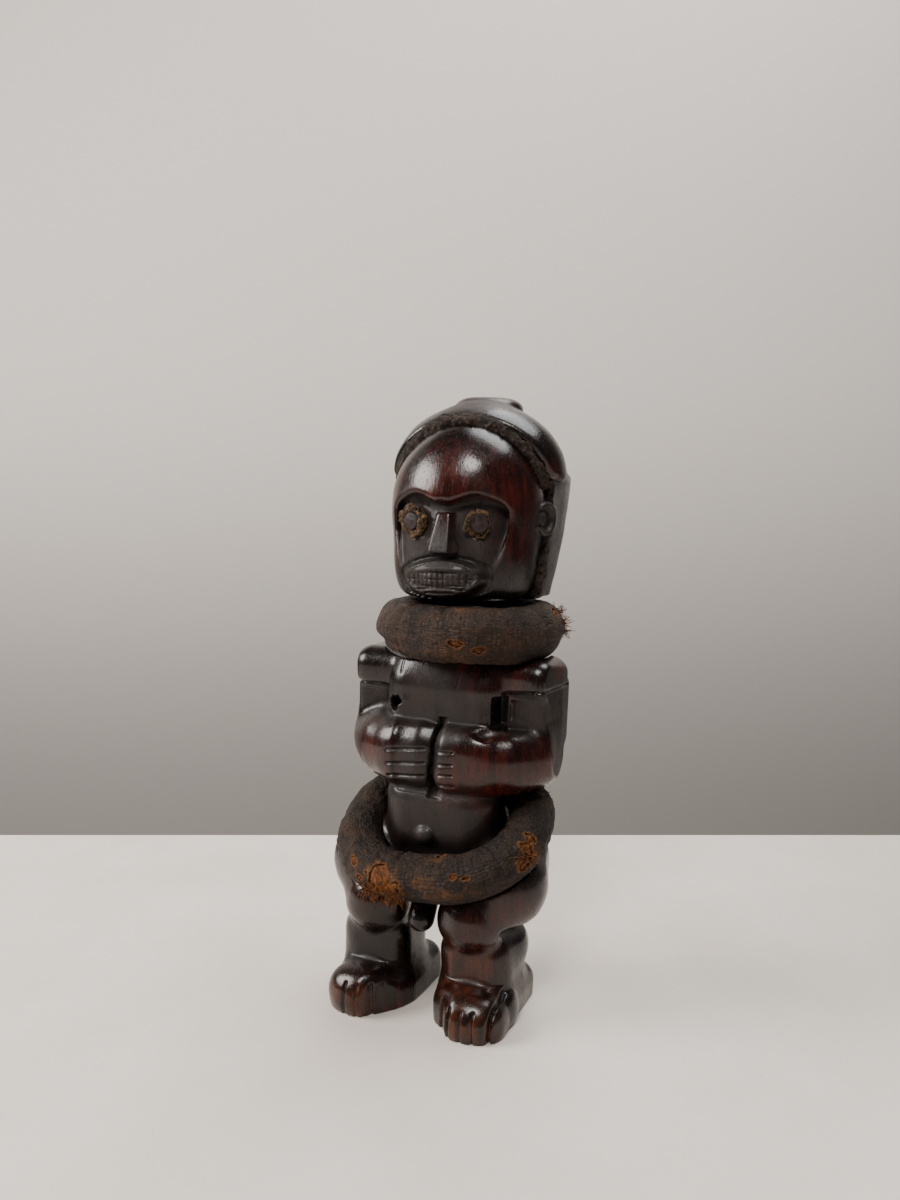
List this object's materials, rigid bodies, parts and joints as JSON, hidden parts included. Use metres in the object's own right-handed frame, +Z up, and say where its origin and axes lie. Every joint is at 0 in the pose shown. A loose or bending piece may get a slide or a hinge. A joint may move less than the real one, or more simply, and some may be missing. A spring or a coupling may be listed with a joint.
{
  "type": "fertility doll",
  "caption": "Carved hardwood standing figure with bent knees and hands on the belly, wearing stuffed skin rings at neck and waist.",
  "frame": {"origin": "on the ground under the middle of the object's outline", "axes": "+Z up along the figure's height, -Y the way it faces, +X towards its left hand"},
  "size_m": [0.0994, 0.1067, 0.2655],
  "materials": {
    "oiled_hardwood": "carved, oiled and hand-polished",
    "scaly_skin": "dried, dusty, small scales",
    "crusted_hide": "dried, crusted and torn",
    "plant_fibre": "coarse loose fibre",
    "sinew_thread": "twisted",
    "ochre_resin": "crumbly, matte",
    "dark_resin": "granular, matte",
    "dark_seed": "satin"
  },
  "bodies": {
    "figure": {"carved_figure": "oiled_hardwood", "left_eye_resin": "ochre_resin", "right_eye_resin": "ochre_resin", "left_eye_disc": "dark_seed", "right_eye_disc": "dark_seed", "hairline_resin": "dark_resin"},
    "neck_ring": {"neck_ring_skin": "scaly_skin", "neck_ring_stuffing": "plant_fibre", "neck_ring_seam_thread": "sinew_thread", "neck_ring_frayed_ends": "plant_fibre"},
    "waist_ring": {"waist_ring_skin": "crusted_hide", "waist_ring_stuffing": "plant_fibre", "waist_ring_seam_thread": "sinew_thread", "waist_ring_frayed_ends": "plant_fibre"}
  },
  "joints": [
    {"name": "neck_ring_turn", "type": "hinge", "parent": "figure", "child": "neck_ring", "pos_m": [0.00425, -0.00037, 0.16165], "axis": [0.0297, 0, 0.9996], "range_deg": [-25, 25]},
    {"name": "waist_ring_lift", "type": "hinge", "parent": "figure", "child": "waist_ring", "pos_m": [-0.00161, 0.01163, 0.09076], "axis": [-0.9983, 0, -0.0576], "range_deg": [0, 8]}
  ]
}
